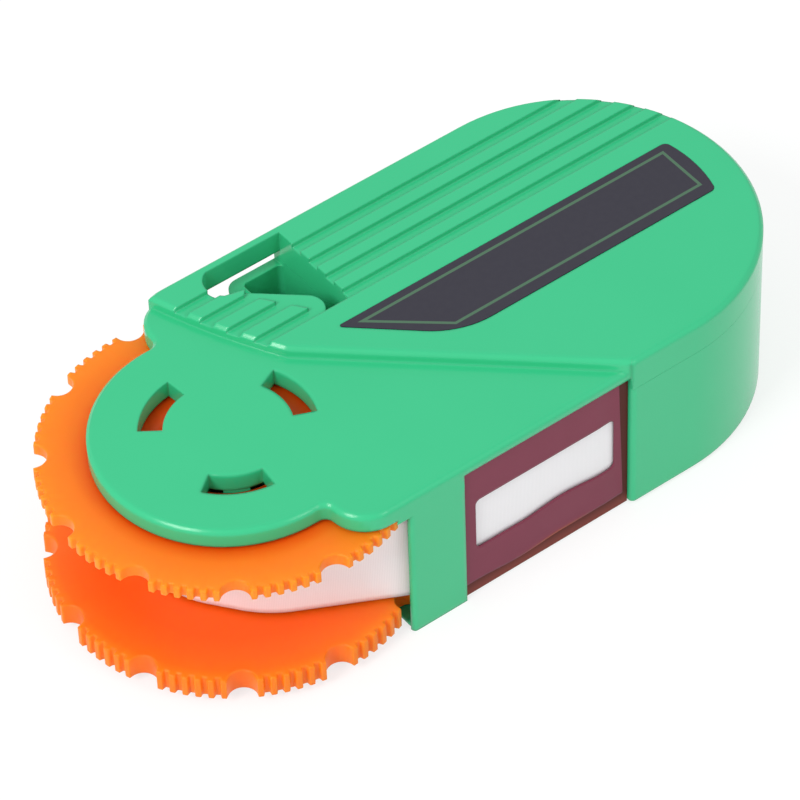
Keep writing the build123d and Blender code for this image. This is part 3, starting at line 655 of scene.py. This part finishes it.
tape_line = taut_path(tape_guides, extra=tape_thickness / 2, spacing=0.6 * mm)
tape_steps = np.hypot(*np.diff(tape_line, axis=0).T)
tape_along = np.concatenate([[0], np.cumsum(tape_steps)])
tape_up = np.linspace(tape_low.z, tape_high.z, tape_rows)
tape_points = np.concatenate(
    [
        np.repeat(tape_line[:, None, :], len(tape_up), axis=1),
        np.broadcast_to(tape_up[None, :, None], (len(tape_line), len(tape_up), 1)),
    ],
    axis=-1,
)


def bump(value, middle, half_width):
    """A smooth hill of height 1 at the middle that falls to 0 a half width away."""
    share = np.clip(1 - ((value - middle) / half_width) ** 2, 0, 1)
    return share * share


# The pad presses the tape outwards by a smooth hill over its face.
pad_middle = (pad_low + pad_high) / 2
pad_half = (pad_high - pad_low) / 2
behind_slot = tape_points[..., 1] < tape_inner_y + pressed_within
hill_along = bump(tape_points[..., 0], pad_middle.x, pad_half.x)
hill_up = bump(tape_points[..., 2], pad_middle.z, pad_half.z)
tape_points[..., 1] -= pressed_out * np.sqrt(hill_along * hill_up) * behind_slot
tape_mesh = grid_mesh("cleaning_tape", tape_points)
tape_uv = np.stack(
    [
        np.broadcast_to(tape_along[:, None], tape_points.shape[:2]),
        np.broadcast_to(tape_up[None, :], tape_points.shape[:2]),
    ],
    axis=-1,
).reshape(-1, 2)
corner_vertex = np.empty(len(tape_mesh.loops), dtype=np.int32)
tape_mesh.loops.foreach_get("vertex_index", corner_vertex)
tape_mesh.uv_layers.new(name="cloth").data.foreach_set("uv", tape_uv[corner_vertex].ravel())
tape = add_piece("cleaning_tape", tape_mesh)
tape_wall = tape.modifiers.new("Tape thickness", "SOLIDIFY")
tape_wall.thickness = woven_thickness
tape_wall.offset = 0
tape_cloth = woven_cloth("White woven tape", tape_white, tape_shade, weave_width=0.25 * mm)
tape.data.materials.append(tape_cloth)
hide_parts("tape_run")
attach(tape, "case")

# Window frame: a thin brown plastic plate clipped behind the pillar and the round end's block. It
# closes the side of the case round the wiping slot. Its lower edge is painted warmer and lighter,
# as a painted glow of warm light.
warm_light_from = 3 * mm
warm_light_full = 0.5 * mm
frame_brown = (0.088, 0.014, 0.01, 1)
frame_warm_light = (0.21, 0.045, 0.033, 1)
frame_plastic, plug, frame_shader, frame_add = graph("Brown sheet plastic")
frame_place = frame_add("TexCoord").outputs["Object"]
# Painted light: towards the bottom the brown turns to a warmer, lighter tone in place of warm light
# falling on the lower edge.
frame_height = frame_add("SeparateXYZ", frame_place).outputs["Z"]
frame_warm_light_share = frame_add(
    "MapRange", value=frame_height, from_min=warm_light_from, from_max=warm_light_full,
    interpolation_type="SMOOTHSTEP",
)
frame_tone = frame_add(
    "MixRGB", fac=frame_warm_light_share.outputs["Result"], color1=frame_brown, color2=frame_warm_light,
)
frame_grain = frame_add("TexNoise", vector=frame_place, scale=1800, detail=2).outputs["Fac"]
frame_relief = frame_add("Bump", height=frame_grain, strength=0.2, distance=0.01 * mm)
plug(frame_tone.outputs["Color"], frame_shader.inputs["Base Color"])
plug(frame_relief.outputs["Normal"], frame_shader.inputs["Normal"])
frame_shader.inputs["Roughness"].default_value = 0.4
frame_shader.inputs["Specular IOR Level"].default_value = 0.12
dress("window_frame", frame_plastic)

# Slot film: a maroon plastic film stuck on the frame, with the long slot that the connector wipes
# along. It is cut by hand and a little slack, so its edges wander and its lower lip stands out.
film_low, film_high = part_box("slot_mask")
slot_left = film_low.x + 2.1 * mm
slot_right = film_high.x - 1.7 * mm
slot_bottom = film_low.z + 7.25 * mm
slot_top = film_high.z - 7.05 * mm
slot_corner = 0.9 * mm
slot_rise = 0.75 * mm
slot_rise_at = slot_left + 16 * mm
slot_rise_half = 7.5 * mm
film_corner = 0.3 * mm
film_lean = 0.9 * mm
film_lift = 0.5 * mm
film_lift_fades = 4 * mm
film_dip_at = film_low.x + 10 * mm
film_dip_half = 7.5 * mm
film_rings = 18
film_share = 0.9
lip_at = slot_left + 15 * mm
lip_half_long = 11 * mm
lip_half_high = 6 * mm
lip_stands = 0.12 * mm
fold_at = film_high.x - 0.5 * mm
fold_half = 2.5 * mm
fold_slant = 0.1
fold_sinks = 0.1 * mm
# Painted light: where a red glow is painted along the film's lower edge.
glow_from = 0.93
glow_at = film_low.x + 17 * mm
glow_half = 9 * mm
film_maroon = (0.222, 0.04, 0.074, 1)
film_deep = (0.198, 0.034, 0.063, 1)
film_glow_red = (0.42, 0.075, 0.02, 1)


def rounded_loop(left, right, bottom, top, corner, side_points=40, corner_points=8):
    """A rectangle's outline with quarter circles for corners, anticlockwise from the lower left
    one, with as many points on each side and each corner whatever its size."""
    quarter = np.linspace(0, np.pi / 2, corner_points)
    centres = np.array(
        [
            (left + corner, bottom + corner),
            (right - corner, bottom + corner),
            (right - corner, top - corner),
            (left + corner, top - corner),
        ]
    )
    turns = quarter[None, :] + np.pi + np.arange(4)[:, None] * np.pi / 2
    arcs = centres[:, None, :] + corner * np.stack([np.cos(turns), np.sin(turns)], axis=-1)
    share = np.linspace(0, 1, side_points + 2)[1:-1, None]
    runs = np.roll(arcs, -1, axis=0)[:, 0] - arcs[:, -1]
    sides = arcs[:, -1, None, :] + share * runs[:, None, :]
    return np.concatenate([arcs, sides], axis=1).reshape(-1, 2)


# The film is a grid of straight rays from the slot's outline to its own outline. Smooth hills lift
# the two lower edges, push the lip out and sink the fold at the right end.
slot_loop = rounded_loop(slot_left, slot_right, slot_bottom, slot_top, slot_corner)
film_loop = rounded_loop(film_low.x, film_high.x, film_low.z, film_high.z, film_corner)
slot_below = slot_loop[:, 1] < slot_bottom + slot_corner
slot_loop[:, 1] += slot_rise * bump(slot_loop[:, 0], slot_rise_at, slot_rise_half) * slot_below
film_below = np.clip(1 - (film_loop[:, 1] - film_low.z) / film_lift_fades, 0, 1)
film_dip = bump(film_loop[:, 0], film_dip_at, film_dip_half)
film_loop[:, 1] += film_lift * (1 - film_dip) * film_below
film_up = (film_loop[:, 1] - film_low.z) / (film_high.z - film_low.z)
film_beyond = np.clip((film_loop[:, 0] - slot_right) / (film_high.x - slot_right), 0, 1)
film_loop[:, 0] -= film_lean * film_up * film_beyond
film_across = np.linspace(0, 1, film_rings)[:, None, None]
film_flat = slot_loop + (film_loop - slot_loop) * film_across
lip_along = bump(film_flat[..., 0], lip_at, lip_half_long)
lip_up = bump(film_flat[..., 1], slot_bottom, lip_half_high)
fold = bump(film_flat[..., 0] + fold_slant * film_flat[..., 1], fold_at, fold_half)
film_middle = (film_low.y + film_high.y) / 2
film_depth = film_middle - lip_stands * lip_along * lip_up + fold_sinks * fold
film_points = np.stack([film_flat[..., 0], film_depth, film_flat[..., 1]], axis=-1)
film_mesh = grid_mesh("slot_film", film_points, closed_columns=True)
# Painted light: a red glow along part of the film's lower edge, in place of light through the
# translucent film.
film_edge_glow = np.clip((film_across[..., 0] - glow_from) / (1 - glow_from), 0, 1) * film_below
film_edge_glow = film_edge_glow * bump(film_flat[..., 0], glow_at, glow_half)
cut_edge = film_mesh.attributes.new("cut_edge", "FLOAT", "POINT")
cut_edge.data.foreach_set("value", film_edge_glow.ravel())
film = add_piece("slot_film", film_mesh)
film_wall = film.modifiers.new("Film thickness", "SOLIDIFY")
film_wall.thickness = film_share * (film_high.y - film_low.y)
film_wall.offset = 0
film_plastic, plug, film_shader, film_add = graph("Maroon film")
film_place = film_add("TexCoord").outputs["Object"]
film_cloud = film_add("TexNoise", vector=film_place, scale=180, detail=3).outputs["Fac"]
film_mix = film_add("MixRGB", fac=film_cloud, color1=film_maroon, color2=film_deep)
film_tone = film_mix.outputs["Color"]
# The attribute mixes in the painted red glow at the lower edge.
film_glow_share = film_add("Attribute", attribute_name="cut_edge").outputs["Fac"]
film_colour = film_add("MixRGB", fac=film_glow_share, color1=film_tone, color2=film_glow_red)
film_grain = film_add("TexNoise", vector=film_place, scale=3000, detail=2).outputs["Fac"]
film_relief = film_add("Bump", height=film_grain, strength=0.15, distance=0.01 * mm)
plug(film_colour.outputs["Color"], film_shader.inputs["Base Color"])
plug(film_relief.outputs["Normal"], film_shader.inputs["Normal"])
film_shader.inputs["Roughness"].default_value = 0.42
film_shader.inputs["Specular IOR Level"].default_value = 0.2
film.data.materials.append(film_plastic)
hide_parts("slot_mask")
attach(film, "case")

# Upper case: the green lid with the nose plate, the raised ribbed top and the strap opening. It is
# moulded in the same plastic as the tub, with rounded rims, and screwed to it from below. The shelf
# at the strap opening runs level out to its round hook.
hook_low = mm * np.array([-7.7, 8.9])
hook_high = mm * np.array([-6.0, 13.5])
shelf_height = 29.35 * mm
lid = merged_copy("upper_case", "lid")
lid_corners = np.empty((len(lid.data.vertices), 3), dtype=np.float32)
lid.data.vertices.foreach_get("co", lid_corners.reshape(-1))
by_hook = np.all((lid_corners[:, :2] > hook_low) & (lid_corners[:, :2] < hook_high), axis=1)
lid_corners[by_hook, 2] = np.minimum(lid_corners[by_hook, 2], shelf_height)
lid.data.vertices.foreach_set("co", lid_corners.reshape(-1))
lid_shell = bmesh.new()
lid_shell.from_mesh(lid.data)
bmesh.ops.remove_doubles(lid_shell, verts=lid_shell.verts, dist=weld_distance)
bmesh.ops.dissolve_degenerate(lid_shell, edges=lid_shell.edges, dist=weld_distance)
lid_shell.to_mesh(lid.data)
lid_shell.free()
shade_softly(lid)
lid.data.materials.append(green_plastic)
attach(lid, "case")

# Label: a satin dark plate glued into a shallow recess of the raised top, with a thin sage line
# printed just inside its edge and the rest left bare.
label_dark = (0.033, 0.031, 0.046, 1)
label_soft = (0.04, 0.038, 0.053, 1)
line_sage = (0.076, 0.162, 0.098, 1)
line_width = 0.5 * mm
line_corners = mm * np.array([(26.2, 3.75), (37.1, -5.65), (83.8, -5.65), (84.0, 3.75)])
line_corners[:, 0] += reel_axis[0]
line_sides = np.roll(line_corners, -1, axis=0) - line_corners
line_inward = np.stack([-line_sides[:, 1], line_sides[:, 0]], axis=-1)
line_inward = line_inward / np.linalg.norm(line_inward, axis=1)[:, None]
label_print, plug, label_shader, label_add = graph("Satin label")
label_place = label_add("TexCoord").outputs["Object"]
# The line lies where the least distance inwards from the four sides is within its width.
from_edge = 1.0
for corner, inward in zip(line_corners, line_inward):
    aside = label_add("VectorMath", label_place, (*inward, 0), operation="DOT_PRODUCT")
    start = float(corner @ inward)
    inside = label_add("Math", aside.outputs["Value"], start, operation="SUBTRACT")
    nearest = label_add("Math", inside.outputs["Value"], from_edge, operation="MINIMUM")
    from_edge = nearest.outputs["Value"]
on_line = label_add("Math", from_edge, line_width / 2, line_width / 2, operation="COMPARE")
label_grain = label_add("TexNoise", vector=label_place, scale=900, detail=3).outputs["Fac"]
label_mix = label_add("MixRGB", fac=label_grain, color1=label_dark, color2=label_soft)
label_tone = label_mix.outputs["Color"]
line_share = on_line.outputs["Value"]
label_colour = label_add("MixRGB", fac=line_share, color1=label_tone, color2=line_sage)
label_relief = label_add("Bump", height=label_grain, strength=0.15, distance=0.01 * mm)
plug(label_colour.outputs["Color"], label_shader.inputs["Base Color"])
plug(label_relief.outputs["Normal"], label_shader.inputs["Normal"])
label_shader.inputs["Roughness"].default_value = 0.5
label_shader.inputs["Specular IOR Level"].default_value = 0.3
dress("label", label_print)

# Case screws: three bright self-tapping screws driven from below through the tub into the lid. Each
# has a domed head with a cross recess and a coarse thread for plastic.
screws_low, screws_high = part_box("case_screws")
screw_places = mm * np.array([(4.3, 21.5), (8.3, -9.0), (56.5, 0.0)])
head_radius = 2.3 * mm
head_height = 1.6 * mm
head_dome = 0.45 * mm
cross_width = 0.7 * mm
cross_reach = 1.35 * mm
cross_depth = 0.9 * mm
cross_slope = 0.15 * mm
cross_end_slope = 0.5 * mm
shank_radius = 1.3 * mm
shank_core = 0.95 * mm
thread_pitch = 1.3 * mm
tip_length = 2.0 * mm
screw_steps = 40
face_rings = 18
side_rings = 4
thread_rows = 130


def screw_points(place):
    """Rings round an upright axis. The head's face rises with the square of the radius, and a cross
    sinks into it near either of two bars. The shank's radius is a triangle wave of the height over
    the pitch less the turn, and narrows to a blunt tip."""
    turn = np.linspace(0, 2 * np.pi, screw_steps, endpoint=False)[None, :]
    face = np.linspace(0, head_radius, face_rings)[:, None]
    across = np.abs(face * np.cos(turn))
    along = np.abs(face * np.sin(turn))
    inside_bar = cross_width / 2 - np.minimum(across, along)
    inside_end = cross_reach - np.maximum(across, along)
    near_bar = np.clip(inside_bar / cross_slope + 0.5, 0, 1)
    near_middle = np.clip(inside_end / cross_end_slope + 0.5, 0, 1)
    face_height = head_dome * (face / head_radius) ** 2 + cross_depth * near_bar * near_middle
    side_height = np.linspace(head_dome, head_height, side_rings + 1)[1:, None]
    length = screws_high.z - screws_low.z
    shank_height = np.linspace(head_height, length, thread_rows)[:, None]
    wave = np.abs((shank_height / thread_pitch - turn / (2 * np.pi)) % 1 - 0.5) * 2
    narrow = np.clip((length - shank_height) / tip_length, 0, 1) ** 0.5
    shank = (shank_core + (shank_radius - shank_core) * wave) * narrow
    radius = np.concatenate([face + 0 * turn, head_radius + 0 * side_height + 0 * turn, shank])
    height = np.concatenate([face_height, side_height + 0 * turn, shank_height + 0 * turn])
    return np.stack(
        [
            place[0] + radius * np.cos(turn),
            place[1] + radius * np.sin(turn),
            screws_low.z + height,
        ],
        axis=-1,
    )


screw_shell = bmesh.new()
for place in screw_places:
    one_screw = closed_mesh("screw", screw_points(place))
    screw_shell.from_mesh(one_screw)
    bpy.data.meshes.remove(one_screw)
screw_mesh = bpy.data.meshes.new("case_screw_set")
screw_shell.to_mesh(screw_mesh)
screw_shell.free()
screws = add_piece("case_screw_set", screw_mesh)
screws.data.set_sharp_from_angle(angle=np.radians(40))
screws.data.materials.append(rolled_steel("Zinc-plated steel", roughness=0.35))
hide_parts("case_screws")
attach(screws, "case")

# Studio: a plain white table in a light tent with two soft boxes, seen from the viewpoint of the
# photograph, which looks down on the nose and the window side from the left.
camera_azimuth = np.radians(-36.1395)
camera_elevation = np.radians(45.656)
camera_roll = np.radians(-2.1739)
camera_place = np.array([-304.4358, -415.3381, 540.3052]) * mm
camera_lens = 224.058
sensor_width = 36.0
back = np.array(
    [
        np.sin(camera_azimuth) * np.cos(camera_elevation),
        -np.cos(camera_azimuth) * np.cos(camera_elevation),
        np.sin(camera_elevation),
    ]
)
level = np.array([np.cos(camera_azimuth), np.sin(camera_azimuth), 0])
upright = np.cross(back, level)
across = np.cos(camera_roll) * level + np.sin(camera_roll) * upright
upwards = np.cos(camera_roll) * upright - np.sin(camera_roll) * level
camera_matrix = np.eye(4)
camera_matrix[:3] = np.stack([across, upwards, back, camera_place], axis=-1)
camera_data = bpy.data.cameras.new("Camera")
camera_data.lens = camera_lens
camera_data.sensor_width = sensor_width
camera_data.clip_end = 10
camera = bpy.data.objects.new("Camera", camera_data)
camera.matrix_world = Matrix(camera_matrix.tolist())
bpy.context.scene.collection.objects.link(camera)
bpy.context.scene.camera = camera

tent_level = 0.73
white = (1, 1, 1, 1)
table_lit = (0.8, 0.8, 0.8, 1)
table_seen = (0.3, 0.3, 0.3, 1)
table_reach = 3.0
table_drop = 0.02 * mm
table_points = np.array([[[-1, -1, 0], [-1, 1, 0]], [[1, -1, 0], [1, 1, 0]]], dtype=float)
table_mesh = grid_mesh("table", table_points * table_reach - np.array([0, 0, table_drop]))
table = add_piece("table", table_mesh)
table_paint, plug, table_shader, table_add = graph("White table")
# The table glows only to rays that look at it, so it is white with no more light on the object.
rays = table_add("LightPath").outputs
looked_at = rays["Is Camera Ray"]
for ray in ("Is Glossy Ray", "Is Transmission Ray"):
    looked_at = table_add("Math", looked_at, rays[ray], operation="MAXIMUM").outputs["Value"]
table_tone = table_add("MixRGB", fac=looked_at, color1=table_lit, color2=table_seen)
table_glow = table_add("Math", looked_at, tent_level, operation="MULTIPLY").outputs["Value"]
plug(table_tone.outputs["Color"], table_shader.inputs["Base Color"])
plug(table_glow, table_shader.inputs["Emission Strength"])
table_shader.inputs["Emission Color"].default_value = white
table_shader.inputs["Roughness"].default_value = 0.9
table_shader.inputs["Specular IOR Level"].default_value = 0.0
table.data.materials.append(table_paint)

world = bpy.data.worlds.new("Light tent")
world.use_nodes = True
bpy.context.scene.world = world
world_light = world.node_tree.nodes["Background"]
world_light.inputs["Color"].default_value = white
world_light.inputs["Strength"].default_value = tent_level


def soft_lamp(name, place, size, power):
    """A square soft box that faces the object."""
    lamp_data = bpy.data.lights.new(name, "AREA")
    lamp_data.size = size
    lamp_data.energy = power
    lamp = bpy.data.objects.new(name, lamp_data)
    facing = np.array(place) / np.linalg.norm(place)
    side = np.cross([0.0, 0.0, 1.0], facing)
    side = side / np.linalg.norm(side)
    lamp_matrix = np.eye(4)
    lamp_matrix[:3] = np.stack([side, np.cross(facing, side), facing, np.array(place)], axis=-1)
    lamp.matrix_world = Matrix(lamp_matrix.tolist())
    bpy.context.scene.collection.objects.link(lamp)


soft_lamp("Left light", (-0.84, -0.16, 0.8), size=0.4, power=6.4)
soft_lamp("Front light", (0.26, -0.86, 0.72), size=0.2, power=1.2)

bpy.context.scene.view_settings.view_transform = "Standard"
